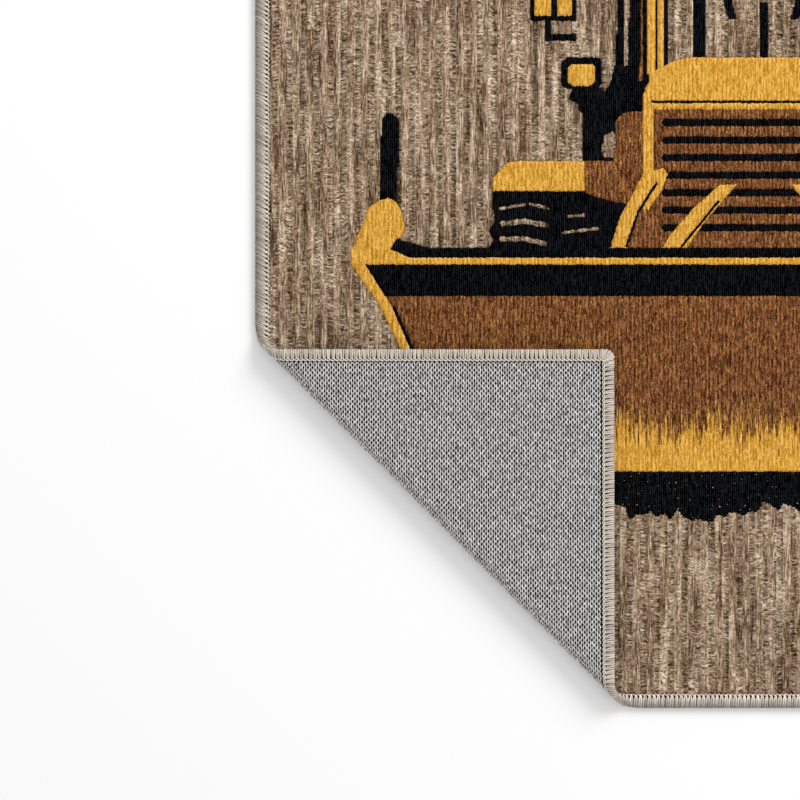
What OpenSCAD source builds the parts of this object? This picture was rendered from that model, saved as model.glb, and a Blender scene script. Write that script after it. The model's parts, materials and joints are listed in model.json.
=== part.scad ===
// Chenille area rug with a construction-vehicle picture.
// Millimetres. The rug lies flat, its length along Y, its pile up (+Z), its cloth back on Z = 0.
// The origin is the middle of the rug. The lower left corner is turned over onto the pile: the
// bend is three narrow strips between the field and the corner, hinged at four parallel lines.

/* [Rug] */
// Width of the rug, left to right
rug_w = 610; // [500:5:1200]
// Length of the rug, bottom to top
rug_l = 914; // [740:5:1800]
// Radius of the four corners
corner_r = 5; // [2:0.5:7]

/* [Layers] */
// Thickness of the backing cloth
backing_t = 0.8; // [0.7:0.05:2]
// Thickness of the latex coat that binds the pile to the cloth
latex_t = 0.6; // [0.3:0.05:1.5]
// Height of the chenille pile
pile_t = 2.8; // [2.2:0.05:6]

/* [Serged edge] */
// Width of the serging on the pile side
serge_face_w = 8; // [7.5:0.1:14]
// Width of the serging on the cloth side
serge_back_w = 6.2; // [4:0.1:7.5]
// Thickness of the serging yarn
yarn_t = 0.6; // [0.4:0.05:0.7]
// Height of the pile where the serging squeezes it
pinched_pile_t = 1.4; // [0.8:0.05:1.6]

/* [Turned corner] */
// Distance from the rug's corner to the start of the bend, square to the fold
fold_d = 162.5; // [100:0.5:220]
// Radius of the bend at the tips of the pile
bend_in_r = 2.3; // [1.6:0.1:8]
// Clearance between the pile of the turned corner's tip and the pile below it
tip_gap = 0.4; // [0.3:0.05:2]
// Half the running gap between two neighbours in the bend
strip_gap = 0.15; // [0.1:0.01:0.2]

/* [Picture] */
// Margin between the rug's side and the widest point of the picture
picture_side = 57; // [30:1:200]
// Margin between the rug's lower edge and the lowest point of the picture
picture_foot = 110; // [40:1:400]
// Margin between the rug's upper edge and the highest point of the picture
picture_head = 126; // [40:1:400]

/* [Hidden] */
$fn = 48;

GROUND = "#8a7761";
GOLD = "#d29c3e";
BROWN = "#6f462a";
BLACK = "#0d0e12";
LATEX = "#d8d2c4";
CLOTH = "#8f8f8d";
YARN = "#c4bab0";

latex_z = backing_t;                       // underside of the latex coat
pile_z = backing_t + latex_t;              // underside of the pile
rug_t = pile_z + pile_t;                   // total thickness
pinch_z = pile_z + pinched_pile_t;         // top of the squeezed pile
serging_z = pinch_z + yarn_t;              // top of the serging
span = rug_w + rug_l;                      // longer than any cut across the rug

// The bend keeps the length of the cloth, so the strips share the arc at the cloth's radius.
HINGES = 4;
bend_r = rug_t + bend_in_r;                // radius of the bend at the cloth
sag = asin((2 * bend_in_r - tip_gap) / (fold_d - PI * bend_r));
fold_step = (180 + sag) / HINGES;          // turn at each hinge
strip_w = bend_r * fold_step * PI / 180;   // width of a strip along the cloth
hinge_z = bend_r * (1 - (fold_step / 2) * PI / 180 / tan(fold_step / 2));

// The picture is drawn on a grid of its own and scaled to the room between its margins.
PICTURE_HALF_W = 248;
PICTURE_TOP = 331;
PICTURE_BOTTOM = -347;
picture_scale = min((rug_w / 2 - picture_side) / PICTURE_HALF_W,
    (rug_l - picture_foot - picture_head) / (PICTURE_TOP - PICTURE_BOTTOM));

// ---------- the rug's outline and its layers, lying flat ----------

// The rug's outline, moved in from its edge
module outline(inset) {
    w = rug_w - 2 * inset;
    l = rug_l - 2 * inset;
    r = corner_r - inset;
    if (r > 0) {
        square([w - 2 * r, l], center = true);
        square([w, l - 2 * r], center = true);
        for (x = [-1, 1], y = [-1, 1])
            translate([x * (w / 2 - r), y * (l / 2 - r)]) circle(r);
    } else {
        square([w, l], center = true);
    }
}

module layer(z_low, z_high) {
    translate([0, 0, z_low]) linear_extrude(z_high - z_low) children();
}

module backing_layer() {
    layer(0, latex_z) outline(serge_back_w);
    layer(yarn_t, latex_z) outline(yarn_t);
}

module latex_layer() {
    layer(latex_z, pile_z) outline(yarn_t);
}

module pile_layer() {
    layer(pile_z, rug_t) outline(serge_face_w);
    layer(pile_z, pinch_z) outline(yarn_t);
}

module serging_layer() {
    layer(0, yarn_t) difference() {
        outline(yarn_t / 2);
        outline(serge_back_w);
    }
    layer(yarn_t, pinch_z) difference() {
        outline(0);
        outline(yarn_t);
    }
    layer(pinch_z, serging_z) difference() {
        outline(yarn_t / 2);
        outline(serge_face_w);
    }
}

// ---------- the bend ----------

// In this frame X runs square to the fold towards the corner and starts where the bend starts.
module fold_frame() {
    translate([-rug_w / 2, -rug_l / 2, 0]) rotate([0, 0, 225]) translate([-fold_d, 0, 0]) children();
}

module in_fold_frame() {
    translate([fold_d, 0, 0]) rotate([0, 0, -225]) translate([rug_w / 2, rug_l / 2, 0]) children();
}

function hinge_x(n) = strip_w * (n - 0.5);

// The place at height z of the cut face beside hinge n: side is 1 on its strip, -1 before it.
// Above the hinge the face leans away, so that neighbours stay parallel when they are folded.
function face_x(n, side, z) =
    hinge_x(n) + side * (strip_gap + max(0, z - hinge_z) * tan(fold_step / 2));

// A solid that reaches from one profile in the fold's own X and Z across the whole rug
module across_rug(profile) {
    fold_frame() translate([0, span, 0]) rotate([90, 0, 0]) linear_extrude(2 * span) polygon(profile);
}

// Keeps what lies between hinge n and hinge n + 1. 0 is the field, HINGES the corner.
module band(n) {
    low = -1;
    high = rug_t + 1;
    left = n == 0
        ? [[-span, high], [-span, low]]
        : [[face_x(n, 1, high), high], [face_x(n, 1, hinge_z), hinge_z], [face_x(n, 1, low), low]];
    right = n == HINGES
        ? [[span, low], [span, high]]
        : [[face_x(n + 1, -1, low), low], [face_x(n + 1, -1, hinge_z), hinge_z],
           [face_x(n + 1, -1, high), high]];
    intersection() {
        children();
        across_rug(concat(left, right));
    }
}

// Turns its children over hinges 1 to n, the last one first
module chain(n) {
    if (n == 0) {
        children();
    } else {
        chain(n - 1) translate([hinge_x(n), 0, hinge_z]) rotate([0, -fold_step, 0])
            translate([-hinge_x(n), 0, -hinge_z]) children();
    }
}

// Band n of a layer, in its folded place
module folded(n) {
    if (n == 0) {
        band(0) children();
    } else {
        fold_frame() chain(n) in_fold_frame() band(n) children();
    }
}

// ---------- the picture, seen from above ----------

module block(x_low, y_low, x_high, y_high) {
    translate([x_low, y_low]) square([x_high - x_low, y_high - y_low]);
}

module both_sides() {
    children();
    mirror([1, 0]) children();
}

// A straight line of the given width with square ends
module line(a, b, w) {
    d = b - a;
    translate(a) rotate(atan2(d[1], d[0])) translate([0, -w / 2]) square([norm(d), w]);
}

// The same with blunt ends that reach half its width past both points
module blunt_line(a, b, w) {
    d = b - a;
    e = norm(d) + w / 2;
    translate(a) rotate(atan2(d[1], d[0]))
        polygon([[-w / 2, -w / 6], [-w / 6, -w / 2], [e - w / 3, -w / 2], [e, -w / 6], [e, w / 6],
            [e - w / 3, w / 2], [-w / 6, w / 2], [-w / 2, w / 6]]);
}

// A disc with corners, as coarse as the threads draw it
module disc(r) {
    circle(r, $fn = 12);
}

SLATS = 7;
SLAT_PITCH = 10.5;
SLAT_TOP = -106;

module blade_gold() {
    // end plates and horns
    both_sides() polygon([[-225, -151], [-220, -154], [-217, -160], [-215, -168], [-215, -171.5],
        [-219.5, -176], [-212, -187], [-222, -191], [-238, -191], [-222, -218], [-209, -246],
        [-200, -285], [-197, -315], [-204, -315], [-207, -285], [-216, -246], [-229, -218],
        [-248, -190], [-247, -182], [-240, -166], [-237, -157], [-231, -153]]);
    // lip of the blade and its worn lower edge
    block(-222, -191, 222, -187);
    block(-201, -315, 201, -287);
}

module blade_brown() {
    polygon([[-230, -208], [230, -208], [212, -246], [203, -285], [201, -288], [-201, -288],
        [-203, -285], [-212, -246]]);
}

module blade_black() {
    polygon([[-224, -182], [-220, -175.5], [-210, -178.5], [-200, -181], [200, -181], [210, -178.5],
        [220, -175.5], [224, -182], [212, -187], [-212, -187]]);
    polygon([[-239, -191], [239, -191], [227, -210], [-227, -210]]);
    both_sides() {
        line([-222, -216], [-209, -246], 2);
        line([-209, -246], [-200, -285], 2);
    }
}

module ground_shadow() {
    polygon([[-194, -315], [194, -315], [188, -328], [160, -343], [132, -331], [104, -342],
        [70, -333], [34, -346], [2, -334], [-30, -345], [-46, -341], [-80, -341], [-98, -332],
        [-128, -344], [-160, -330], [-186, -338]]);
}

module marker_rods() {
    difference() {
        both_sides() blunt_line([-224, -106], [-225, -153], 10.4);
        blade_gold();
    }
}

module hood_gold() {
    polygon([[-73, -98], [-73, -93], [-71, -85], [-69, -82], [-69, -75.5], [-62, -73.5], [-56, -70],
        [-50, -68], [-43, -67], [43, -67], [50, -68], [56, -70], [62, -73.5], [69, -75.5],
        [69, -82], [71, -85], [73, -93], [73, -98]]);
    both_sides() block(-73, -140, -66.5, -98);
    struts();
}

// Bars that run down to the blade, in front of the slats and the wheels
module struts() {
    both_sides() {
        polygon([[-73, -138], [-78.5, -149], [-86, -162], [-92, -181], [-83, -181], [-79.5, -171],
            [-74, -157.5], [-64, -142], [-58, -136], [-60, -133], [-66.5, -135]]);
        polygon([[-66, -144], [-61, -136], [-57.5, -136.5], [-61.5, -147], [-69, -158],
            [-73, -158]]);
        polygon([[-61, -181], [-55, -172], [-42, -157], [-26, -143], [-16, -143], [-36, -166],
            [-46, -181]]);
    }
}

// Dark gaps along the struts
module strut_gaps() {
    both_sides() {
        line([-64, -142], [-75, -159], 1.5);
        line([-75, -159], [-82.5, -180.5], 1.5);
        line([-27, -153], [-50, -181], 1.5);
    }
}

module grille_black() {
    for (n = [0:SLATS - 1])
        blunt_line([-59, SLAT_TOP - n * SLAT_PITCH], [59, SLAT_TOP - n * SLAT_PITCH], 4.4);
}

module fender_gold() {
    both_sides() polygon([[-163, -147], [-162, -139], [-154, -130], [-147, -129], [-108, -129],
        [-108, -147]]);
}

module fender_brown() {
    both_sides() polygon([[-108, -147], [-108, -129], [-89.5, -129], [-89, -106], [-87, -102.5],
        [-84, -100.5], [-80, -99.5], [-70, -99.5], [-70, -181], [-84, -181], [-90, -160]]);
}

module tyre_black() {
    both_sides() difference() {
        polygon([[-162.5, -147], [-108, -147], [-102, -150], [-92, -153], [-80, -155], [-88, -181],
            [-165, -181], [-161.5, -176], [-165, -171], [-161.5, -166]]);
        blunt_line([-158, -157.5], [-143, -155], 1.8);
        blunt_line([-140, -154.5], [-129, -157.5], 1.8);
        blunt_line([-156.5, -166.5], [-143, -165], 3.2);
        blunt_line([-143, -165], [-130.5, -167.5], 3.2);
        blunt_line([-157, -175.8], [-144, -175.5], 3);
        blunt_line([-144, -175.5], [-131, -178.5], 3);
        blunt_line([-117, -162], [-108, -161.5], 1.8);
        blunt_line([-121, -172], [-100, -169.5], 1.8);
    }
}

module lamps_black() {
    both_sides() {
        // head lamp
        polygon([[-121, -84], [-121, -70], [-118, -67], [-99, -67], [-97, -69], [-97, -82],
            [-100, -86], [-118, -86]]);
        // mirror with its stem and foot
        block(-140, -45, -112, -4);
        block(-131, -57, -127, -44);
        block(-131, -57, -113, -53);
    }
}

module lamps_gold() {
    both_sides() {
        polygon([[-117, -82], [-117, -73], [-115, -71], [-103, -71], [-101, -73], [-101, -81],
            [-104, -84], [-115, -84]]);
        block(-137, -42, -127, -7);
        block(-124, -42, -115, -7);
    }
}

module cab_black() {
    both_sides() {
        difference() {
            polygon([[-109, -129], [-109, -100.5], [-111, -99], [-111.5, -94.5], [-117, -92],
                [-114, -84], [-101, -84], [-95, -87.5], [-92, -82], [-89.5, -72], [-68, -72],
                [-68, -100], [-88, -129]]);
            polygon([[-97.5, -123.5], [-96, -127], [-89, -127], [-88, -113], [-91, -111.5],
                [-96, -113.5]]);
        }
        difference() {
            polygon([[-89, -84], [-57, -74], [-60, 166], [-82, 166]]);
            polygon([[-84.5, -83], [-81.3, -83], [-77, 156], [-79.4, 156]]);
        }
        block(-43, -68, -35, 160);
        block(-60, 56, -35, 61);
    }
    block(-100, 160, 100, 166);
    // steering wheel and head rest
    difference() {
        translate([0, -34]) disc(24);
        translate([0, -34]) disc(19);
        block(-30, -70, 30, -44);
    }
    line([0, -68], [0, -34], 5);
    block(-12, 46, 12, 62);
}

module cab_gold() {
    both_sides() {
        block(-70, -77, -65.2, 160);
        block(-63.4, -75, -59.4, 160);
    }
    polygon([[-104, 166], [104, 166], [100, 184], [90, 192], [-90, 192], [-100, 184]]);
    translate([0, 198]) disc(9);
}

module side_strips() {
    both_sides() polygon([[-74.4, -81], [-72.2, -81], [-71.6, 160], [-73.8, 160]]);
}

module cab_brown() {
    side_strips();
    // seat back
    polygon([[-26, -18], [26, -18], [23, 34], [16, 42], [-16, 42], [-23, 34]]);
}

// The digging arm that stands up behind the cab
module boom_gold() {
    polygon([[34, 192], [62, 192], [88, 262], [82, 292], [64, 300], [60, 268]]);
}

module boom_brown() {
    polygon([[64, 300], [82, 292], [148, 306], [158, 318], [150, 326], [136, 322]]);
}

module boom_black() {
    blunt_line([52, 206], [76, 284], 4);
    translate([73, 296]) disc(11);
    // bucket
    polygon([[146, 331], [166, 327], [182, 304], [184, 276], [174, 262], [166, 278], [148, 284],
        [142, 300], [154, 314]]);
    block(-12, 192, 12, 199);
}

module picture_black() {
    scale([picture_scale, picture_scale]) {
        difference() {
            union() {
                blade_black();
                grille_black();
                tyre_black();
            }
            struts();
        }
        strut_gaps();
        block(-68, -94.4, 68, -92.8);
        ground_shadow();
        marker_rods();
        difference() {
            lamps_black();
            lamps_gold();
        }
        difference() {
            cab_black();
            cab_gold();
            hood_gold();
            fender_brown();
            side_strips();
        }
        boom_black();
    }
}

module picture_gold() {
    difference() {
        scale([picture_scale, picture_scale]) {
            blade_gold();
            hood_gold();
            fender_gold();
            lamps_gold();
            cab_gold();
            boom_gold();
        }
        picture_black();
    }
}

module picture_brown() {
    difference() {
        scale([picture_scale, picture_scale]) {
            blade_brown();
            fender_brown();
            block(-73, -181, 73, -98);
            cab_brown();
            boom_brown();
        }
        picture_black();
        picture_gold();
    }
}

// Moves the picture to its margin above the rug's lower edge
module placed() {
    translate([0, -rug_l / 2 + picture_foot - PICTURE_BOTTOM * picture_scale]) children();
}

// Pile of one colour: the part of the picture that is inside the serging and on the field
module picture_pile() {
    band(0) layer(pile_z, rug_t) intersection() {
        outline(serge_face_w);
        placed() children();
    }
}

// ---------- sub-parts ----------

module ground_pile() {
    color(GROUND) band(0) difference() {
        pile_layer();
        layer(pile_z, rug_t) placed() {
            picture_black();
            picture_gold();
            picture_brown();
        }
    }
}

module gold_pile() {
    color(GOLD) picture_pile() picture_gold();
}

module brown_pile() {
    color(BROWN) picture_pile() picture_brown();
}

module black_pile() {
    color(BLACK) picture_pile() picture_black();
}

module latex_coat() {
    color(LATEX) folded(0) latex_layer();
}

module backing_cloth() {
    color(CLOTH) folded(0) backing_layer();
}

module edge_serging() {
    color(YARN) folded(0) serging_layer();
}

module fold_pile(n) {
    color(GROUND) folded(n) pile_layer();
}

module fold_latex(n) {
    color(LATEX) folded(n) latex_layer();
}

module fold_backing(n) {
    color(CLOTH) folded(n) backing_layer();
}

module fold_serging(n) {
    color(YARN) folded(n) serging_layer();
}

module corner_pile() {
    color(GROUND) folded(HINGES) pile_layer();
}

module corner_latex() {
    color(LATEX) folded(HINGES) latex_layer();
}

module corner_backing() {
    color(CLOTH) folded(HINGES) backing_layer();
}

module corner_serging() {
    color(YARN) folded(HINGES) serging_layer();
}

ground_pile();
gold_pile();
brown_pile();
black_pile();
latex_coat();
backing_cloth();
edge_serging();
for (n = [1:3]) {
    fold_pile(n);
    fold_latex(n);
    fold_backing(n);
    fold_serging(n);
}
corner_pile();
corner_latex();
corner_backing();
corner_serging();
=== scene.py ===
"""A chenille area rug: a construction vehicle in its pile, a serged edge, one corner turned over.

Every piece is made on the flat rug first and then laid round the bend by fold(). Lengths are in
metres. Names with FACE belong to the pile side, names with BACK to the cloth side.
"""
import json
import math

import bpy
import numpy as np
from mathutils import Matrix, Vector

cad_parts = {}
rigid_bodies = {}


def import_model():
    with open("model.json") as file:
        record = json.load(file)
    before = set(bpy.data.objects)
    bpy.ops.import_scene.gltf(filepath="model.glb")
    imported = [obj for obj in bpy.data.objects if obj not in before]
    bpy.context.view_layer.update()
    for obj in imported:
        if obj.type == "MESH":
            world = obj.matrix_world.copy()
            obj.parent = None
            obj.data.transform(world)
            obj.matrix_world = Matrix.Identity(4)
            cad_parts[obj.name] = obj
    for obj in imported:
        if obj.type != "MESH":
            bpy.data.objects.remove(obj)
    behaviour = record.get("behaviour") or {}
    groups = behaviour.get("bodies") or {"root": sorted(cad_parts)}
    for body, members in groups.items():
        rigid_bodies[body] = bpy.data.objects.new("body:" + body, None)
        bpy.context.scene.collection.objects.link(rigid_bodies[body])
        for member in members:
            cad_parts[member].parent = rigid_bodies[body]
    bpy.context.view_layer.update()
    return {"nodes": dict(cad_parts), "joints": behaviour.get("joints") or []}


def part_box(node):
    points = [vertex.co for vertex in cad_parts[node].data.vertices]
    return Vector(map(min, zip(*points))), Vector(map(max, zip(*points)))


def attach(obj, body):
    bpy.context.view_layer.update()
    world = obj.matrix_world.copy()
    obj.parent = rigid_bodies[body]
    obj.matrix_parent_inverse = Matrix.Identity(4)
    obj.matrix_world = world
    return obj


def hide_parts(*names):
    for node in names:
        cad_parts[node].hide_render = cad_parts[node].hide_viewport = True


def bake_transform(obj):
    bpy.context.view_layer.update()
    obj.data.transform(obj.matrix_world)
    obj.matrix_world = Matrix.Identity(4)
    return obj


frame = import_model()

MM = 0.001

# ---------- sizes, from the frame ----------

rug_low, rug_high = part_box("edge_serging")
HALF_W = rug_high.x
HALF_L = rug_high.y
SERGING_TOP = rug_high.z
PILE_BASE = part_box("ground_pile")[0].z
PILE_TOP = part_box("ground_pile")[1].z
LATEX_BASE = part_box("latex_coat")[0].z
BLADE_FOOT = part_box("brown_pile")[0].y

SERGE_FACE = 8 * MM       # width of the serging on the pile
SERGE_BACK = 6.2 * MM     # width of the serging on the cloth
CORNER_R = 5 * MM         # radius of the rug's corners

# ---------- the bend, from the joints ----------

joints = sorted(frame["joints"], key=lambda j: j["name"])
BODIES = [joints[0]["parent"]] + [j["child"] for j in joints]
hinges = [np.array(j["pos_m"]) for j in joints]
STEP = math.radians(joints[0]["range_deg"][1])
STRIP = float(np.linalg.norm(hinges[1] - hinges[0]))
BEND_R = STRIP / STEP
ARC = STRIP * len(joints)
ALONG = np.array(joints[0]["axis"]) / np.linalg.norm(joints[0]["axis"])
ACROSS = np.cross(ALONG, (0, 0, 1))
BEND_START = hinges[0] * (1, 1, 0) - ACROSS * STRIP / 2
ZONE_NAMES = ["field", *(joint["name"] for joint in joints), "corner"]
CORNER_ZONE = len(ZONE_NAMES) - 1
TURNED = BEND_START[0] + BEND_START[1]    # x + y where the bend starts


def beyond_start(points):
    """How far points of the flat rug lie past the start of the bend, towards the corner."""
    return (points - BEND_START) @ ACROSS


def fold(points):
    """Lays points of the flat rug round the bend. Their z is the height above the cloth side."""
    far = beyond_start(points)
    turn = np.clip(far, 0, ARC) / BEND_R
    past = np.maximum(far - ARC, 0)
    radius = BEND_R - points[:, 2]
    out = np.minimum(far, 0) + radius * np.sin(turn) + past * np.cos(turn)
    up = BEND_R - radius * np.cos(turn) + past * np.sin(turn)
    folded = points + np.outer(out - far, ACROSS)
    folded[:, 2] = up
    return folded


def zone_of(points):
    """The index in ZONE_NAMES: 0 is the flat field, then one zone for each hinge, then the corner."""
    far = beyond_start(points)
    return np.clip(np.ceil(far / STRIP), 0, CORNER_ZONE).astype(int)


# ---------- noise ----------

def noise(x, y, size_x, size_y, seed):
    """Smooth random values from 0 to 1, with bumps of size_x by size_y."""
    table = np.random.default_rng(seed).random((256, 256))
    u, v = x / size_x, y / size_y
    i, j = np.floor(u).astype(int), np.floor(v).astype(int)
    a, b = u - i, v - j
    a, b = a * a * (3 - 2 * a), b * b * (3 - 2 * b)
    i0, j0, i1, j1 = i % 256, j % 256, (i + 1) % 256, (j + 1) % 256
    near = table[i0, j0] * (1 - a) + table[i1, j0] * a
    next_row = table[i0, j1] * (1 - a) + table[i1, j1] * a
    return near * (1 - b) + next_row * b


def smooth(t):
    t = np.clip(t, 0, 1)
    return t * t * (3 - 2 * t)


# ---------- meshes ----------

def weld(points, quads):
    """Joins points that lie in the same place."""
    keys = np.round(points / (0.002 * MM)).astype(np.int64)
    _, first, index = np.unique(keys, axis=0, return_index=True, return_inverse=True)
    quads = index.reshape(-1)[quads]
    flat_ones = (quads[:, 0] == quads[:, 1]) | (quads[:, 2] == quads[:, 3])
    return points[first], quads[~flat_ones]


def add_skirt(points, quads, base):
    """Closes an open surface down to the height base, all round its edge."""
    edges = np.concatenate([quads[:, [i, (i + 1) % 4]] for i in range(4)])
    _, index, count = np.unique(np.sort(edges, axis=1), axis=0, return_inverse=True, return_counts=True)
    rim = edges[count[index.reshape(-1)] == 1]
    rim = rim[rim[:, 0] != rim[:, 1]]
    used = np.unique(rim)
    lower = points[used].copy()
    lower[:, 2] = base
    new_index = np.full(len(points), -1)
    new_index[used] = np.arange(len(used)) + len(points)
    walls = np.column_stack([rim[:, 0], new_index[rim[:, 0]], new_index[rim[:, 1]], rim[:, 1]])
    return np.concatenate([points, lower]), np.concatenate([quads, walls])


def piece(name, points, quads, zone, material, slot, yarn=None):
    """One object from points of the flat rug, folded; in the flat field it is joined to the first body,
    on the turned corner to the last, and round the bend to none.
    """
    used = np.unique(quads)
    index = np.zeros(len(points), int)
    index[used] = np.arange(len(used))
    points, quads = points[used], index[quads]
    mesh = bpy.data.meshes.new(name)
    mesh.vertices.add(len(points))
    mesh.vertices.foreach_set("co", fold(points).ravel())
    mesh.loops.add(quads.size)
    mesh.loops.foreach_set("vertex_index", quads.ravel())
    mesh.polygons.add(len(quads))
    mesh.polygons.foreach_set("loop_start", np.arange(0, quads.size, 4))
    mesh.update(calc_edges=True)
    mesh.polygons.foreach_set("use_smooth", np.ones(len(quads), bool))
    attributes = {"flat": points} if yarn is None else {"flat": points, "yarn": yarn[used]}
    for label, values in attributes.items():
        attribute = mesh.attributes.new(label, "FLOAT_VECTOR", "POINT")
        attribute.data.foreach_set("vector", values.ravel())
    mesh.materials.append(material)
    made = bpy.data.objects.new(name, mesh)
    bpy.context.scene.collection.objects.link(made)
    if zone == 0:
        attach(made, BODIES[0])
    elif zone == CORNER_ZONE:
        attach(made, BODIES[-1])
    else:
        start, end = fold(BEND_START + np.outer([(zone - 1) * STRIP, zone * STRIP], ACROSS))
        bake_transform(made)
    return made


FIELD_NODES = {"pile": "ground_pile", "backing": "backing_cloth", "serging": "edge_serging",
               "latex": "latex_coat"}


def stand_in(zone, layer):
    """Hides the CAD node of a layer that a piece stands for, if its zone has one."""
    if zone == 0:
        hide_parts(FIELD_NODES.get(layer, layer))
    elif zone == CORNER_ZONE:
        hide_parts(f"corner_{layer}")
    elif zone < CORNER_ZONE - 1:
        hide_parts(f"fold_{layer}_{zone}")


MOST_QUADS = 90_000       # in one object


def pieces_by_zone(name, points, quads, material, slot, layer=None, yarn=None):
    """The objects of a mesh that may cross the bend: a list for each zone that it reaches.

    A large zone is cut into blocks along Y. The objects stand for their layer's node, if it is given.
    """
    middles = points[quads].mean(axis=1)
    zones = zone_of(middles)
    made = {}
    for zone in np.unique(zones):
        chosen = np.flatnonzero(zones == zone)
        blocks = math.ceil(len(chosen) / MOST_QUADS)
        chosen = chosen[np.argsort(middles[chosen, 1], kind="stable")]
        parts = made[int(zone)] = []
        for n, block in enumerate(np.array_split(chosen, blocks), 1):
            label = f"{name}_{ZONE_NAMES[zone]}" + (f"_{n}" if blocks > 1 else "")
            parts.append(piece(label, points, quads[block], zone, material, slot, yarn))
            if layer:
                stand_in(zone, layer)
    return made


SIDES = 6                 # of a tube
SIDE_ANGLES = np.arange(SIDES) * 2 * np.pi / SIDES


def tube_yarn(line, tone):
    """The yarn values of a tube's points: relief 0 at its flanks and 1 on top, which sets the painted
    shade on the flanks, and its tone.
    """
    relief = np.clip(np.abs(np.sin(SIDE_ANGLES)) / 0.86, 0, 1)
    tone = np.broadcast_to(tone, len(line))
    return np.stack([np.tile(relief, (len(line), 1)), np.tile(tone[:, None], (1, SIDES)),
                     np.zeros((len(line), SIDES))], axis=-1).reshape(-1, 3)


def tube(line, widths, heights, side):
    """An open-ended tube round a line of points. Widths and heights are half sizes, along side and up."""
    steps = np.gradient(line, axis=0)
    up = np.cross(side, steps)
    up /= np.linalg.norm(up, axis=1)[:, None]
    ring = (np.cos(SIDE_ANGLES)[None, :, None] * widths[:, None, None] * side[:, None, :]
            + np.sin(SIDE_ANGLES)[None, :, None] * heights[:, None, None] * up[:, None, :])
    points = (line[:, None, :] + ring).reshape(-1, 3)
    first = np.arange(len(line) - 1)[:, None] * SIDES
    a = first + np.arange(SIDES)[None, :]
    b = first + (np.arange(SIDES)[None, :] + 1) % SIDES
    quads = np.stack([a, b, b + SIDES, a + SIDES], axis=-1).reshape(-1, 4)
    return points, quads


class Bundle:
    """Gathers many small meshes into one. A point's yarn values are its relief, its tone and 0."""

    def __init__(self):
        self.points, self.quads, self.yarn, self.count = [], [], [], 0

    def add(self, points, quads, yarn=None):
        self.points.append(points)
        self.quads.append(quads + self.count)
        self.yarn.append(np.zeros((len(points), 3)) if yarn is None else yarn)
        self.count += len(points)

    def arrays(self):
        return np.concatenate(self.points), np.concatenate(self.quads)

    def yarns(self):
        return np.concatenate(self.yarn)


# ---------- materials ----------

def linear(colour):
    """An sRGB colour of 0 to 255 as a linear one with alpha."""
    c = np.array(colour) / 255
    return (*np.where(c <= 0.04045, c / 12.92, ((c + 0.055) / 1.055) ** 2.4), 1)


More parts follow.
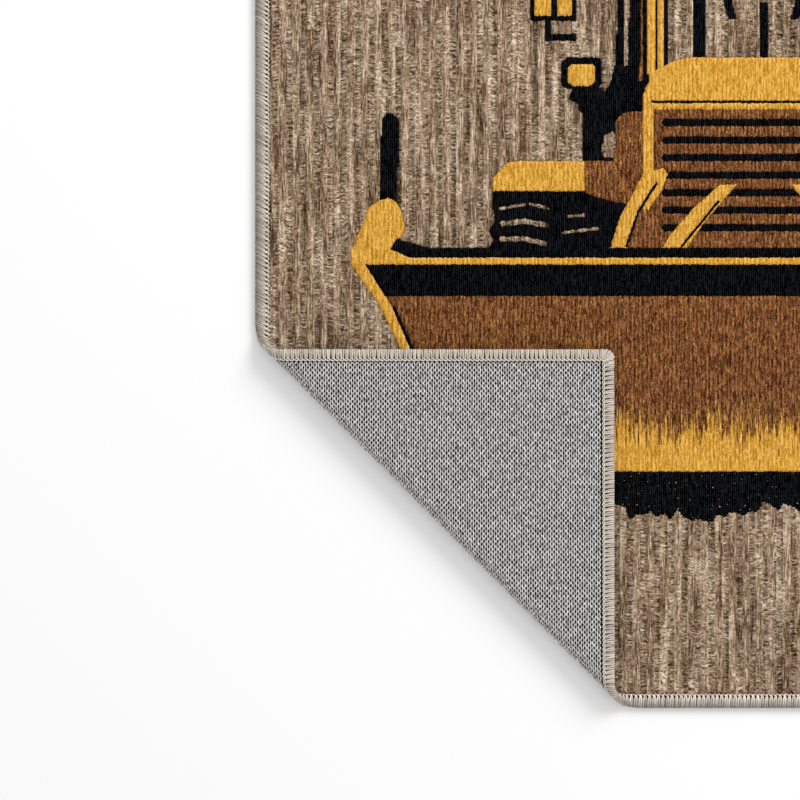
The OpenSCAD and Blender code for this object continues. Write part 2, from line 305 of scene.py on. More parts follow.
class Shader:
    """A small builder for one material's nodes, on the flat rug's own coordinates."""

    def __init__(self, name, roughness=0.9, specular=0.05):
        self.material = bpy.data.materials.new(name)
        self.material.use_nodes = True
        self.tree = self.material.node_tree
        self.surface = self.tree.nodes["Principled BSDF"]
        self.surface.inputs["Roughness"].default_value = roughness
        self.surface.inputs["Specular IOR Level"].default_value = specular
        self.flat = self.node("ShaderNodeAttribute", attribute_name="flat").outputs["Vector"]

    def node(self, kind, **settings):
        made = self.tree.nodes.new(kind)
        for key, value in settings.items():
            setattr(made, key, value)
        return made

    def link(self, source, target):
        self.tree.links.new(source, target)

    def scaled(self, size_x, size_y, size_z=1 * MM):
        mapping = self.node("ShaderNodeMapping")
        self.link(self.flat, mapping.inputs["Vector"])
        mapping.inputs["Scale"].default_value = (1 / size_x, 1 / size_y, 1 / size_z)
        return mapping.outputs["Vector"]

    def vector(self, *parts):
        made = self.node("ShaderNodeCombineXYZ")
        for part, socket in zip(parts, made.inputs):
            self.link(part, socket)
        return made.outputs["Vector"]

    def noise(self, size_x, size_y, detail=2, rough=0.5, distortion=0):
        return self.noise_at(self.scaled(size_x, size_y, size_x), detail, rough, distortion)

    def noise_at(self, place, detail=2, rough=0.5, distortion=0):
        made = self.node("ShaderNodeTexNoise")
        self.link(place, made.inputs["Vector"])
        made.inputs["Scale"].default_value = 1
        made.inputs["Detail"].default_value = detail
        made.inputs["Roughness"].default_value = rough
        made.inputs["Distortion"].default_value = distortion
        return made.outputs["Fac"]

    def stripes(self, pitch, crest=0, sway=0):
        """Upright stripes, bent by sway: 0 at crest and every pitch from there, 1 halfway between."""
        made = self.node("ShaderNodeTexWave", bands_direction="X")
        self.link(self.scaled(pitch, pitch), made.inputs["Vector"])
        made.inputs["Scale"].default_value = math.pi / 10      # one stripe a unit
        made.inputs["Phase Offset"].default_value = -2 * math.pi * crest / pitch
        made.inputs["Distortion"].default_value = sway
        return made.outputs["Fac"]

    def math(self, operation, a, b=0):
        made = self.node("ShaderNodeMath", operation=operation)
        for socket, value in zip(made.inputs, (a, b)):
            if isinstance(value, (int, float)):
                socket.default_value = value
            else:
                self.link(value, socket)
        return made.outputs["Value"]

    def step(self, value, low, high):
        """0 up to low, 1 from high, smooth between them; turned round if high is the lower."""
        made = self.node("ShaderNodeMapRange", interpolation_type="SMOOTHSTEP")
        self.link(value, made.inputs["Value"])
        made.inputs["From Min"].default_value = min(low, high)
        made.inputs["From Max"].default_value = max(low, high)
        made.inputs["To Min"].default_value = 0 if low < high else 1
        made.inputs["To Max"].default_value = 1 if low < high else 0
        return made.outputs["Result"]

    def choose(self, share, a, b):
        """a where share is 0, b where it is 1."""
        rest = self.math("SUBTRACT", 1, share)
        return self.math("ADD", self.math("MULTIPLY", a, rest), self.math("MULTIPLY", b, share))

    def crease(self, value, width):
        """1 along the lines where a noise passes its middle, 0 away from them."""
        return self.step(self.math("ABSOLUTE", self.math("SUBTRACT", value, 0.5)), width, 0)

    def flat_part(self, axis):
        """A coordinate of the flat rug: X, Y or Z."""
        split = self.node("ShaderNodeSeparateXYZ")
        self.link(self.flat, split.inputs["Vector"])
        return split.outputs[axis]

    def blend(self, *weighted):
        """The weighted sum of several values: blend(a, 0.5, b, 0.3)."""
        total = None
        for value, weight in zip(weighted[::2], weighted[1::2]):
            share = self.math("MULTIPLY", value, weight)
            total = share if total is None else self.math("ADD", total, share)
        return total

    def ramp(self, value, *stops):
        """Colours by value: ramp(v, (0.3, dark), (0.7, light))."""
        made = self.node("ShaderNodeValToRGB")
        elements = made.color_ramp.elements
        while len(elements) < len(stops):
            elements.new(0.5)
        for element, (place, colour) in zip(elements, stops):
            element.position = place
            element.color = linear(colour)
        self.link(value, made.inputs["Fac"])
        return made.outputs["Color"]

    def mix(self, amount, a, b, kind="MIX"):
        made = self.node("ShaderNodeMix", data_type="RGBA", blend_type=kind)
        for socket, value in ((made.inputs[0], amount), (made.inputs[6], a), (made.inputs[7], b)):
            if hasattr(value, "links"):
                self.link(value, socket)
            else:
                socket.default_value = value
        return made.outputs[2]

    def bump(self, value, distance, strength):
        made = self.node("ShaderNodeBump")
        made.inputs["Distance"].default_value = distance
        made.inputs["Strength"].default_value = strength
        self.link(value, made.inputs["Height"])
        self.link(made.outputs["Normal"], self.surface.inputs["Normal"])

    def darken(self, colour, share):
        """A colour times a share of light."""
        grey = self.node("ShaderNodeCombineColor")
        for channel in grey.inputs[:3]:
            self.link(share, channel)
        return self.mix(1.0, colour, grey.outputs["Color"], kind="MULTIPLY")

    def finish(self, colour):
        self.link(colour, self.surface.inputs["Base Color"])
        return self.material


STRAND_GAP = 3.7          # between two strands in the noise, so that they aren't alike
STRAND_TONE = 45 * MM     # length of a strand's stretch of one tone
TUFT = 1.15 * MM          # pitch of the curls along a strand


def chenille_material():
    """Taupe chenille, two strands a rib: crosswise curls on each, and upright cords between patches.
    Painted shade darkens the rib grooves and the low pile, and a painted highlight lightens the rib
    crests.
    """
    s = Shader("chenille_ground", roughness=1.0)
    cord = s.noise(0.75 * MM, 8 * MM, detail=2, rough=0.5, distortion=0.5)
    across = s.math("DIVIDE", s.math("SUBTRACT", s.flat_part("X"), CREST - RIB / 4), RIB / 2)
    strand = s.math("MULTIPLY", s.math("FLOOR", across), STRAND_GAP)
    inside = s.math("SUBTRACT", s.math("FRACT", across), 0.5)
    up = s.flat_part("Y")
    tone = s.noise_at(s.vector(strand, s.math("DIVIDE", up, STRAND_TONE), inside), detail=1)
    bend = s.math("MULTIPLY", s.math("SUBTRACT", tone, 0.42), 13)
    arc = s.math("MULTIPLY", s.math("MULTIPLY", inside, inside), bend)
    curl = s.noise_at(s.vector(s.math("MULTIPLY", across, 1.1),
                               s.math("SUBTRACT", s.math("DIVIDE", up, TUFT), arc), strand),
                      detail=1.2, rough=0.5, distortion=1.1)
    speck = s.noise(1.7 * MM, 1.4 * MM, detail=2, rough=0.55, distortion=1.4)
    patch = s.noise(6 * MM, 26 * MM, detail=2, rough=0.6)
    rib = s.stripes(RIB, CREST, sway=2.2)
    fuzzy = s.step(s.blend(rib, 0.22, patch, 1.0), 0.48, 0.72)
    pattern = s.choose(fuzzy, s.blend(cord, 0.64, speck, 0.36), s.blend(curl, 0.82, speck, 0.18))
    column = s.noise(1.5 * MM, 60 * MM, detail=2, rough=0.6, distortion=0.3)
    value = s.blend(pattern, 0.59, column, 0.13, tone, 0.15, patch, 0.13)
    colour = s.ramp(value, (0.40, (52, 36, 22)), (0.455, (101, 79, 58)), (0.50, (141, 118, 95)),
                    (0.55, (180, 158, 134)), (0.615, (224, 206, 182)))
    line = s.crease(s.noise(2.6 * MM, 2.2 * MM, detail=2, rough=0.6, distortion=2.2), 0.028)
    colour = s.mix(s.math("MULTIPLY", line, 0.5), colour, linear((62, 44, 28)))
    rare = s.step(s.noise(2.2 * MM, 2.6 * MM, detail=2), 0.69, 0.75)
    colour = s.mix(s.math("MULTIPLY", rare, 0.7), colour, linear((112, 64, 38)))
    # painted shade and highlight: the rib grooves are darkened and the crests lightened, more strongly in
    # some patches, and low pile, such as beside the serging, is darkened
    shade_depth = s.choose(s.step(s.noise(10 * MM, 40 * MM, detail=1), 0.36, 0.64), 0.5, 1.35)
    rib_light_and_shade = s.choose(s.math("MULTIPLY", s.step(rib, 0.2, 0.85), shade_depth), 1.11, 0.80)
    low_pile_shade = s.choose(s.step(s.flat_part("Z"), PILE_TOP - 2.2 * MM, PILE_TOP - 1.2 * MM), 0.6, 1.0)
    s.bump(pattern, 1.2 * MM, 0.6)
    return s.finish(s.darken(colour, s.math("MULTIPLY", rib_light_and_shade, low_pile_shade)))


def thread_colour(s, dark, middle, light, creases, reach, cords=0.05, threads=2):
    """A yarn's colour and its crinkles: streaks along the thread, cords a few threads wide, creases."""
    streak = s.noise(0.9 * MM, 7 * MM, detail=3, rough=0.65, distortion=0.6)
    crinkle = s.noise(0.8 * MM, 1.7 * MM, detail=2, rough=0.6, distortion=1.4)
    value = s.blend(streak, 0.56 - cords, crinkle, 0.44, s.stripes(threads * THREAD), cords)
    colour = s.ramp(value, (0.5 - reach, dark), (0.5, middle), (0.5 + reach, light))
    if creases:
        line = s.crease(s.noise(1.9 * MM, 6.5 * MM, detail=2, rough=0.6, distortion=1.6), 0.05)
        colour = s.mix(s.math("MULTIPLY", line, creases), colour, linear(dark))
    return colour, crinkle


GOLD = ((164, 108, 22), (203, 149, 54), (238, 188, 94))
BROWN = ((44, 19, 6), (114, 69, 37), (176, 120, 74))
BLACK = ((0, 0, 0), (2, 2, 3), (31, 32, 36))


def black_material():
    """Black pile, whose single threads show. Under the blade the ground's yarn pricks through it."""
    s = Shader("black_thread", specular=0.0)
    colour, crinkle = thread_colour(s, *BLACK, 0.0, 0.085, cords=0.13, threads=1)
    prick = s.step(s.noise(1.3 * MM, 1.3 * MM, detail=1), 0.73, 0.77)
    under = s.step(s.flat_part("Y"), BLADE_FOOT - 4 * MM, BLADE_FOOT - 8 * MM)
    s.bump(crinkle, 0.5 * MM, 0.5)
    return s.finish(s.mix(s.math("MULTIPLY", prick, under), colour, linear((190, 160, 120))))


BROWN_CREASES = 0.85


def worn_material(name, shades, creases, flecks):
    """Gold or brown pile with gold flecks. Near the blade's foot brown runs out into gold streaks."""
    s = Shader(name)
    own, crinkle = thread_colour(s, *shades, creases, 0.09)
    brown = thread_colour(s, *BROWN, BROWN_CREASES, 0.09)[0]
    gold = thread_colour(s, *GOLD, 0.0, 0.09)[0]
    up = s.math("SUBTRACT", s.flat_part("Y"), BLADE_FOOT)
    lick = s.noise(1.0 * MM, 15 * MM, detail=4, rough=0.75)
    sway = s.noise(14 * MM, 30 * MM, detail=1)
    level = s.math("ADD", s.math("MULTIPLY", s.math("ADD", up, 2 * MM), 1 / (26 * MM)),
                   s.blend(s.math("SUBTRACT", lick, 0.5), 4.4, s.math("SUBTRACT", sway, 0.5), 1.0))
    worn = s.mix(s.step(level, -0.16, 0.02), gold, brown)
    near = s.math("MULTIPLY", s.step(up, -27 * MM, -23 * MM), s.step(up, 34 * MM, 26 * MM))
    thin = s.noise(0.75 * MM, 4.5 * MM, detail=2, rough=0.6, distortion=0.8)
    fleck = s.math("MULTIPLY", s.step(thin, 0.63, 0.68),
                   s.step(s.noise(24 * MM, 20 * MM, detail=1), 0.46, 0.62))
    s.bump(crinkle, 0.5 * MM, 0.5)
    return s.finish(s.mix(near, s.mix(s.math("MULTIPLY", fleck, flecks), own, gold), worn))


def serging_material():
    """Cream yarn. Painted shade darkens the flanks of its plies, in the grooves between them, and each
    ply's tone carries painted light and shade across the serging as well as its own random tone.
    """
    s = Shader("serging_yarn")
    values = s.node("ShaderNodeAttribute", attribute_name="yarn")
    yarn = s.node("ShaderNodeSeparateXYZ")
    s.link(values.outputs["Vector"], yarn.inputs["Vector"])
    fibre = s.noise(0.5 * MM, 0.5 * MM, detail=3, rough=0.6)
    colour = s.ramp(fibre, (0.34, (164, 150, 136)), (0.5, (205, 193, 180)), (0.64, (240, 231, 220)))
    # painted shade on the plies' flanks from their relief, times the tone's painted light and shade
    shade_depth = s.choose(s.step(yarn.outputs["X"], 0.0, 0.8), 0.38, 1.0)
    s.bump(fibre, 0.25 * MM, 0.5)
    return s.finish(s.darken(colour, s.math("MULTIPLY", shade_depth, yarn.outputs["Y"])))


def serged_core_shade_material():
    """The rug's bound edge, near-black as painted shade in the gaps of the serging."""
    s = Shader("serged_core_painted_shade", roughness=1.0)
    return s.finish(s.ramp(s.noise(1 * MM, 1 * MM), (0.4, (22, 18, 14)), (0.6, (48, 40, 32))))


def cloth_thread_material():
    """Heather threads of the backing: each stretch of thread has its own grey."""
    s = Shader("backing_threads")
    stretch = s.noise(2.6 * MM, 1.0 * MM, detail=3, rough=0.7)
    fibre = s.noise(0.3 * MM, 0.3 * MM, detail=2)
    s.bump(fibre, 0.2 * MM, 0.5)
    value = s.blend(stretch, 0.75, fibre, 0.25)
    return s.finish(s.ramp(value, (0.34, (74, 74, 77)), (0.43, (152, 151, 151)),
                           (0.52, (200, 199, 197)), (0.62, (243, 242, 240))))


def cloth_ground_material():
    """The dark cloth between the backing's threads."""
    s = Shader("backing_ground", roughness=1.0)
    fleck = s.noise(1.2 * MM, 0.7 * MM, detail=3, rough=0.7)
    s.bump(fleck, 0.3 * MM, 0.6)
    return s.finish(s.ramp(fleck, (0.42, (8, 8, 10)), (0.58, (34, 34, 36)), (0.72, (90, 90, 90))))


def latex_material():
    s = Shader("latex_coat", roughness=0.7, specular=0.3)
    grain = s.noise(2 * MM, 2 * MM, detail=4)
    s.bump(grain, 0.2 * MM, 0.4)
    return s.finish(s.ramp(grain, (0.3, (96, 90, 80)), (0.7, (140, 132, 120))))


# ---------- pile ----------

THREAD = 1.25 * MM        # pitch of the pile's threads
ROW = 2 * MM              # longest mesh step along a thread
RIB = 8.16 * MM           # pitch of the chenille ribs
CREST = 5.5 * MM          # where one of them has its crest
TUCK = 0.3 * MM           # how far the pile reaches under the serging
PILE_HALF_W = HALF_W - SERGE_FACE + TUCK
PILE_HALF_L = HALF_L - SERGE_FACE + TUCK
COLOURS = ("gold", "brown", "black")
SEED = 7


def ground_height(x, y):
    """The chenille's ribs, tufts and lumps."""
    wander = 0.8 * MM * (noise(x, y, 22 * MM, 55 * MM, 11) - 0.5)
    ridge = np.abs(np.cos(np.pi * (x - CREST + wander) / RIB)) ** 0.7
    tuft = noise(x, y, 2.6 * MM, 2.2 * MM, 12)
    lump = noise(x, y, 4.5 * MM, 13 * MM, 13)
    drop = 0.75 * MM * (1 - ridge) + 0.6 * MM * (1 - tuft) + 0.3 * MM * (1 - lump)
    return PILE_TOP - 0.05 * MM - drop - edge_drop(x, y)


def thread_height(x, y):
    """The picture's flat pile: every second thread stands a little higher."""
    column = np.round(x / THREAD).astype(int)
    ridge = np.where(column % 2 == 0, 0.08 * MM, 0)
    return PILE_TOP - 0.75 * MM + ridge + 0.18 * MM * noise(x, y, 1.3 * MM, 6 * MM, 14)


def edge_drop(x, y):
    """The serging presses the pile down beside it."""
    inside = np.minimum(PILE_HALF_W - np.abs(x), PILE_HALF_L - np.abs(y))
    return 1.5 * MM * (1 - smooth(inside / (3.2 * MM)))


def outline_edges(node):
    """The outlines of a pile node's upper faces, as pairs of points seen from above."""
    mesh = frame["nodes"][node].data
    points = np.array([v.co for v in mesh.vertices])
    mesh.calc_loop_triangles()
    triangles = np.array([t.vertices for t in mesh.loop_triangles])
    top = np.all(points[triangles][:, :, 2] > PILE_TOP - 0.01 * MM, axis=1)
    keys = np.round(points[:, :2] / (0.001 * MM)).astype(np.int64)
    _, first, index = np.unique(keys, axis=0, return_index=True, return_inverse=True)
    triangles = index.reshape(-1)[triangles[top]]
    edges = np.concatenate([triangles[:, [i, (i + 1) % 3]] for i in range(3)])
    edges, count = np.unique(np.sort(edges, axis=1), axis=0, return_counts=True)
    return points[first][edges[count == 1]][:, :, :2]


OUTLINES = {colour: outline_edges(f"{colour}_pile") for colour in COLOURS}


def crossings(edges, x):
    """Where a line along Y at x meets the outlines, and the outlines' slopes there."""
    a, b = edges[:, 0], edges[:, 1]
    hit = (a[:, 0] < x) != (b[:, 0] < x)
    a, b = a[hit], b[hit]
    slope = (b[:, 1] - a[:, 1]) / (b[:, 0] - a[:, 0])
    y = a[:, 1] + (x - a[:, 0]) * slope
    order = np.argsort(y)
    return list(zip(y[order], slope[order]))


def colour_runs(x, rng):
    """The stretches of colour along one thread: low and high end, each a height and a slope."""
    spans = []
    for colour in COLOURS:
        ends = crossings(OUTLINES[colour], x)
        spans += [(low, high, colour) for low, high in zip(ends[::2], ends[1::2])]
    spans.sort()
    stops, colours = [[-PILE_HALF_L, 0]], []
    for low, high, colour in spans:
        if low[0] - stops[-1][0] > 0.1 * MM:
            stops.append([*low])
            colours.append("ground")
        stops.append([*high])
        colours.append(colour)
    stops.append([PILE_HALF_L, 0])
    colours.append("ground")
    for i in range(1, len(stops) - 1):
        around = {colours[i - 1], colours[i]}
        if around == {"ground", "black"} and stops[i][0] < BLADE_FOOT:
            # the ragged edge of the black under the blade
            sway = float(noise(np.array([x]), np.array([0.0]), 4 * MM, 1, 15)[0]) - 0.5
            stops[i][0] += (7 * sway + rng.uniform(-0.6, 0.6)) * MM
        elif around == {"gold", "brown"} and abs(stops[i][0] - BLADE_FOOT) < 1 * MM:
            stops[i] = [stops[i][0] + rng.uniform(-9, 9) * MM, 0]
        else:
            stops[i][0] += rng.uniform(-0.3, 0.3) * MM
        stops[i][0] = max(stops[i][0], stops[i - 1][0])
    return [(stops[i], stops[i + 1], c) for i, c in enumerate(colours)
            if stops[i + 1][0] - stops[i][0] > 0.15 * MM]


def stretch_of_pile(x_low, x_high, low, high, height):
    """One thread's stretch of one colour. Its ends follow the slope of the outline."""
    half = (x_high - x_low) / 2
    lean_low = np.clip(low[1] * half, -1.2 * MM, 1.2 * MM)
    lean_high = np.clip(high[1] * half, -1.2 * MM, 1.2 * MM)
    room = (high[0] - low[0]) * 0.45
    lean_low, lean_high = np.clip([lean_low, lean_high], -room, room)
    first, last = low[0] + abs(lean_low), high[0] - abs(lean_high)
    rows = np.arange(math.floor(first / ROW), math.ceil(last / ROW) + 1) * ROW
    rows = rows[(rows > first + 0.05 * MM) & (rows < last - 0.05 * MM)]
    y = np.column_stack([np.concatenate([[low[0] - lean_low], rows, [high[0] - lean_high]]),
                         np.concatenate([[low[0] + lean_low], rows, [high[0] + lean_high]])]).ravel()
    x = np.tile([x_low, x_high], len(y) // 2)
    points = np.column_stack([x, y, height(x, y)])
    a = np.arange(len(y) // 2 - 1) * 2
    return points, np.column_stack([a, a + 1, a + 3, a + 2])


def make_pile():
    materials = {
        "ground": chenille_material(),
        "gold": worn_material("gold_thread", GOLD, 0.0, 0.0),
        "brown": worn_material("brown_thread", BROWN, BROWN_CREASES, 0.8),
        "black": black_material(),
    }
    bundles = {colour: Bundle() for colour in materials}
    rng = np.random.default_rng(SEED)
    columns = int(PILE_HALF_W / THREAD)
    edges = np.arange(-columns, columns + 1) * THREAD
    edges[0], edges[-1] = -PILE_HALF_W, PILE_HALF_W
    for x_low, x_high in zip(edges[:-1], edges[1:]):
        for low, high, colour in colour_runs((x_low + x_high) / 2, rng):
            height = ground_height if colour == "ground" else thread_height
            bundles[colour].add(*stretch_of_pile(x_low, x_high, low, high, height))
    made = {}
    for colour, bundle in bundles.items():
        points, quads = weld(*bundle.arrays())
        points, quads = add_skirt(points, quads, PILE_BASE)
        layer = "pile" if colour == "ground" else f"{colour}_pile"
        made[colour] = pieces_by_zone(f"{colour}_pile_yarn", points, quads, materials[colour],
                                      f"{colour}_yarn", layer)
    return made


# ---------- backing cloth ----------

CELL = 3.1 * MM           # length of one open cell of the cloth
COLUMN = 1.4 * MM         # distance between its threads
THREAD_TOP = 0.15 * MM    # how far the threads lie inside the serging's back
CLOTH_Z = 0.55 * MM       # the cloth under the threads


def make_backing():
    """The cloth, with a finer grid where it bends."""
    half_w, half_l = HALF_W - SERGE_BACK + 1 * MM, HALF_L - SERGE_BACK + 1 * MM
    end_x = TURNED + HALF_L + 3 * MM     # where the bend meets the rug's edges
    end_y = TURNED + HALF_W + 3 * MM
    xs = np.concatenate([np.linspace(-half_w, end_x, 160), np.linspace(end_x, half_w, 60)[1:]])
    ys = np.concatenate([np.linspace(-half_l, end_y, 160), np.linspace(end_y, half_l, 100)[1:]])
    grid_x, grid_y = np.meshgrid(xs, ys)
    z = CLOTH_Z + 0.08 * MM * noise(grid_x, grid_y, 2 * MM, 2 * MM, 21)
    points = np.column_stack([grid_x.ravel(), grid_y.ravel(), z.ravel()])
    n = len(xs)
    a = (np.arange(len(ys) - 1)[:, None] * n + np.arange(n - 1)[None, :]).ravel()
    quads = np.column_stack([a, a + n, a + n + 1, a + 1])
    return pieces_by_zone("backing_base", points, quads, cloth_ground_material(), "backing", "backing")


def wavy_threads(low, high, rows, steps):
    """Half-round threads along X whose waves meet their neighbours', which leaves staggered cells."""
    bundle = Bundle()
    for row in rows:
        y0 = row * COLUMN
        x_end = min(high, TURNED - y0)
        if x_end - low < CELL:
            continue
        x = np.arange(low, x_end, CELL / steps)
        swing = 0.27 * MM + 0.16 * MM * (noise(x, x * 0 + y0, 2.5 * MM, 1 * MM, 31) - 0.5)
        wave = np.sin(2 * np.pi * x / CELL)
        y = y0 + (1 if row % 2 else -1) * swing * np.sign(wave) * np.abs(wave) ** 0.45
        half = 0.43 * MM * (0.8 + 0.4 * noise(x, x * 0 + y0, 1.8 * MM, 1 * MM, 32))
        lift = THREAD_TOP + 0.12 * MM * noise(x, x * 0 + y0, 2.2 * MM, 1 * MM, 33)
        rings = [(-half, CLOTH_Z + 0.05 * MM + 0 * x), (-0.5 * half, lift), (0.5 * half, lift),
                 (half, CLOTH_Z + 0.05 * MM + 0 * x)]
        points = np.stack([np.column_stack([x, y + dy, z]) for dy, z in rings], axis=1).reshape(-1, 3)
        a = (np.arange(len(x) - 1)[:, None] * 4 + np.arange(3)[None, :]).ravel()
        bundle.add(points, np.column_stack([a, a + 4, a + 5, a + 1]))
    return bundle


def make_backing_threads():
    """The cloth's threads where its back shows: on the turned corner and round the bend."""
    low = -HALF_W + SERGE_BACK + 1.8 * MM
    first = int((-HALF_L + SERGE_BACK + 2.2 * MM) / COLUMN)
    last = int((TURNED - low) / COLUMN)
    bundle = wavy_threads(low, HALF_W, range(first, last), 6)
    return pieces_by_zone("backing_threads", *bundle.arrays(), cloth_thread_material(), "backing")


# ---------- serging ----------

PITCH = 2.7 * MM          # distance between stitches
YARN_HALF = 0.34 * MM     # half the thickness of the serging yarn
CORNER_STITCHES = 3


def edge_stitches():
    """The places of the stitches round the rug's outline."""
    places = []
    corner_x, corner_y = HALF_W - CORNER_R, HALF_L - CORNER_R
    sides = [((corner_x, -HALF_L), (-corner_x, -HALF_L), 180),
             ((-HALF_W, -corner_y), (-HALF_W, corner_y), 90),
             ((-corner_x, HALF_L), (corner_x, HALF_L), 0),
             ((HALF_W, corner_y), (HALF_W, -corner_y), -90)]
    for start, end, heading in sides:
        start, end = np.array(start), np.array(end)
        count = round(float(np.linalg.norm(end - start)) / PITCH)
        for i in range(count):
            places.append(start + (end - start) * (i + 0.5) / count)
        turn = math.radians(heading)
        centre = end - CORNER_R * np.array([-math.sin(turn), math.cos(turn)])
        for i in range(CORNER_STITCHES):
            angle = turn + math.pi / 2 - math.pi / 2 * (i + 0.5) / CORNER_STITCHES
            places.append(centre + CORNER_R * np.array([math.cos(angle), math.sin(angle)]))
    return np.array(places)


def wrap_profile():
    """The yarn's path round the edge, from the cloth to the pile: distance inward and height."""
    low, high = YARN_HALF, SERGING_TOP - YARN_HALF
    middle, round_r = (low + high) / 2, (high - low) / 2
    angles = np.radians(np.linspace(-90, 90, 6))
    rim = [(round_r + YARN_HALF - round_r * math.cos(a), middle + round_r * math.sin(a))
           for a in angles]
    back = [(SERGE_BACK, low + 0.12 * MM), (SERGE_BACK * 0.8, low), (SERGE_BACK * 0.5, low)]
    face = [(SERGE_FACE * 0.45, high + 0.05 * MM), (SERGE_FACE * 0.7, high),
            (SERGE_FACE * 0.88, high - 0.1 * MM), (SERGE_FACE, high - 0.45 * MM),
            (SERGE_FACE + 0.4 * MM, PILE_BASE + 0.4 * MM)]
    return np.array(back + rim + face)


FIRST_ON_FACE = 9         # the profile's first point on the pile


def make_serging():
    """Plies of yarn, two a stitch, which spread from the needle hole to the rug's edge."""
    places = edge_stitches()
    profile = wrap_profile()
    away = profile[:, 0]
    on_face = np.arange(len(profile)) >= FIRST_ON_FACE
    back_spread = np.interp(away / SERGE_BACK, [0, 0.35, 1], [1, 0.98, 0.62])
    face_spread = np.interp(away / MM, [0, 5.4, 7.2, 8], [1, 1, 0.5, 0.4])
    notch = np.interp(away / MM, [0.6, 1.4, 2.2, 3.6], [0, 0.16, 0.16, 0])
    upper = profile[:, 1] > SERGING_TOP * 0.55
    # painted light and shade across the serging: on the pile dark at the rim and lightest towards the
    # needle, on the cloth darker at the rim and darkest at the needle
    face_light_and_shade = np.interp(away / MM, [0, 1.2, 3, 4.8, 6, 7], [0.52, 0.50, 0.68, 0.92, 1.15, 1.20])
    back_light_and_shade = np.interp(away / SERGE_BACK, [0, 0.3, 0.7, 1], [0.84, 0.92, 0.89, 0.75])
    tone = np.where(upper, face_light_and_shade, back_light_and_shade)
    rng = np.random.default_rng(SEED + 1)
    bundle = Bundle()
    core_in = SERGE_FACE / MM - 0.2
    core_section = ((0.8, 0.8), (core_in, 0.8), (core_in, 2.2), (0.8, 2.5))
    rings = []
    for place in places:
        inner = np.clip(place, (-HALF_W + SERGE_FACE, -HALF_L + SERGE_FACE),
                        (HALF_W - SERGE_FACE, HALF_L - SERGE_FACE))
        way = inner - place
        length = float(np.linalg.norm(way))
        way = np.array([*(way / length), 0])
        tangent = np.array([-way[1], way[0], 0])
        side, end = abs(way[0]) > 0.999, abs(way[1]) > 0.999
        slant = -3.4 * MM if side else -0.6 * MM if end else 0
        hook = -0.9 * MM if end else 0
        lean = np.where(on_face, slant * (away / SERGE_FACE) ** 1.4, hook * (away / SERGE_BACK) ** 2)
        spread = np.where(on_face, face_spread - notch * side, back_spread)
        if not side and not end:
            spread = spread * (1 - 0.8 * away / SERGE_FACE)     # the stitches fan round the corner
        for ply in (-0.5, 0.5):
            jitter = rng.normal(size=3) * 0.05
            offset = ply * PITCH / 2 * (spread + jitter[0]) + jitter[1] * 1.5 * MM + lean
            line = (np.array([*place, 0]) + np.outer(away / SERGE_FACE * length, way)
                    + np.outer(offset, tangent) + np.outer(profile[:, 1], (0, 0, 1)))
            widths = PITCH / 3.9 * (0.35 + 0.65 * spread)
            heights = np.full(len(profile), YARN_HALF) * (1 + jitter[2])
            # painted shade: the pile face of the rug's sides is darkened to 0.9; each ply also gets its
            # own random tone
            bundle.add(*tube(line, widths, heights, np.tile(tangent, (len(profile), 1))),
                       tube_yarn(line, tone * np.where(upper & side, 0.9, 1) * (1 + 2.2 * jitter[2])))
        for distance, z in core_section:
            rings.append(np.array([*place, z * MM]) + way * distance * MM / SERGE_FACE * length)
    made = pieces_by_zone("serging_yarn", *bundle.arrays(), serging_material(), "serging", "serging",
                          bundle.yarns())
    count = len(places)
    first = np.arange(count)[:, None] * 4
    a = first + np.arange(4)[None, :]
    b = first + (np.arange(4)[None, :] + 1) % 4
    quads = np.stack([a, b, (b + 4) % (4 * count), (a + 4) % (4 * count)], axis=-1).reshape(-1, 4)
    # the near-black core is painted shade, seen in the gaps between stitches
    pieces_by_zone("serged_core_painted_shade", np.array(rings), quads, serged_core_shade_material(), "serging")
    return made


ROPE_STEP = 0.125         # in stitches


def rope(corners, z, swing, lift, thick, strands, tone):
    """Strands twisted round a closed line: each turns once in as many stitches as there are strands."""
    bundle = Bundle()
    corners = np.array(corners)
    for a, b in zip(corners, np.roll(corners, -1, axis=0)):
        length = float(np.linalg.norm(b - a))
        count = max(1, round(length / PITCH))
        t = np.arange(0, count + 1e-6, ROPE_STEP)
        way = np.array([*((b - a) / length), 0])
        across = np.array([-way[1], way[0], 0])
        for strand in range(strands):
            angle = 2 * np.pi * (t / strands + strand / strands)
            line = (np.array([*a, z]) + np.outer(t * length / count, way)
                    + np.outer(swing * np.cos(angle), across)
                    + np.outer(lift * np.sin(angle), (0, 0, 1)))
            size = np.full(len(t), thick)
            bundle.add(*tube(line, size, size, np.tile(across, (len(t), 1))), tube_yarn(line, tone))
    return bundle


def rectangle(inset):
    """The corners of the rug's outline, moved in from its edge."""
    x, y = HALF_W - inset, HALF_L - inset
    return [(-x, -y), (x, -y), (x, y), (-x, y)]


def make_chain():
    """The looper threads along the serging's inner side: a chain on the cloth, dashes on the pile."""
    material = serging_material()
    back = rope(rectangle(SERGE_BACK + 0.4 * MM), z=0.52 * MM, swing=0.62 * MM, lift=0.26 * MM,
                thick=0.40 * MM, strands=2, tone=1.25)
    face = rope(rectangle(SERGE_FACE + 0.1 * MM), z=SERGING_TOP - 0.75 * MM, swing=0.45 * MM,
                lift=0.66 * MM, thick=0.36 * MM, strands=1, tone=1.3)
    for name, bundle in (("chain_back", back), ("chain_face", face)):
        pieces_by_zone(name, *bundle.arrays(), material, "serging", yarn=bundle.yarns())


# ---------- latex ----------

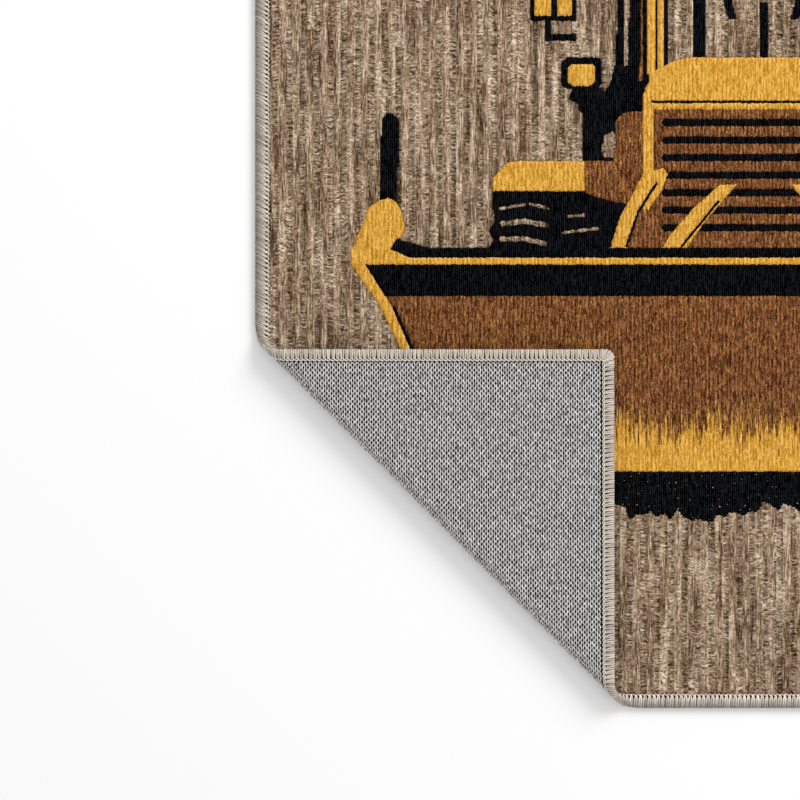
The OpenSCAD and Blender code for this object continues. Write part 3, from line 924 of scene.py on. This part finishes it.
def make_latex():
    """The latex coat keeps its CAD plates where it is flat. Round the bend it is one curved web."""
    material = latex_material()
    for name in ("latex_coat", "corner_latex"):
        node = frame["nodes"][name]
        node.data.materials.clear()
        node.data.materials.append(material)
    half_bend = np.linalg.norm(hinges[0] * (1, 1, 0) + (HALF_W, HALF_L, 0)) * 0.99
    along = np.linspace(-1, 1, 41) * half_bend
    for zone in range(1, CORNER_ZONE):
        across = np.linspace((zone - 1) * STRIP, zone * STRIP, 6)
        bundle = Bundle()
        for z, flip in ((LATEX_BASE, False), (PILE_BASE, True)):
            grid_u, grid_v = np.meshgrid(across, along)
            reach = 1 - grid_u / half_bend
            points = (BEND_START + grid_u.reshape(-1, 1) * ACROSS
                      + (grid_v * reach).reshape(-1, 1) * ALONG + (0, 0, z))
            n = len(across)
            a = (np.arange(len(along) - 1)[:, None] * n + np.arange(n - 1)[None, :]).ravel()
            quads = np.column_stack([a, a + 1, a + n + 1, a + n])
            bundle.add(points, quads[:, ::-1] if flip else quads)
        part = piece(f"latex_{ZONE_NAMES[zone]}", *bundle.arrays(), zone, material, "latex")
        stand_in(zone, "latex")


# ---------- stage ----------

VIEW_CENTRE = (-0.218, -0.2722)
VIEW_WIDTH = 0.480        # of the floor in the picture's frame
CAMERA_HEIGHT = 2.4
SENSOR = 36               # in the camera's own millimetres


def make_stage():
    bpy.ops.mesh.primitive_plane_add(size=12, location=(0, 0, -0.1 * MM))
    floor = bpy.context.object
    floor.name = "floor"
    s = Shader("floor_paper", roughness=1.0, specular=0.0)
    s.surface.inputs["Base Color"].default_value = (0.91, 0.91, 0.91, 1)
    floor.data.materials.append(s.material)

    world = bpy.data.worlds.new("studio")
    bpy.context.scene.world = world
    world.use_nodes = True
    sky = world.node_tree.nodes["Background"]
    sky.inputs["Color"].default_value = (1, 1, 1, 1)
    sky.inputs["Strength"].default_value = 0.82

    light = bpy.data.lights.new("key", "AREA")
    light.shape = "DISK"
    light.size = 1.2
    light.energy = 41
    key = bpy.data.objects.new("key", light)
    bpy.context.scene.collection.objects.link(key)
    direction = Vector((0.72, 0.72, 0.59))
    target = Vector((VIEW_CENTRE[0], VIEW_CENTRE[1], 0))
    key.location = target + direction.normalized() * 2.6
    key.rotation_euler = (target - key.location).to_track_quat("-Z", "Y").to_euler()


def make_camera():
    data = bpy.data.cameras.new("camera")
    data.sensor_width = SENSOR
    data.lens = SENSOR * CAMERA_HEIGHT / VIEW_WIDTH
    data.clip_end = 20
    camera = bpy.data.objects.new("camera", data)
    camera.location = (*VIEW_CENTRE, CAMERA_HEIGHT)
    bpy.context.scene.collection.objects.link(camera)
    bpy.context.scene.camera = camera
    bpy.context.scene.view_settings.view_transform = "Standard"


make_camera()
make_stage()
pile = make_pile()
backing = make_backing()
make_backing_threads()
serging = make_serging()
make_chain()
make_latex()
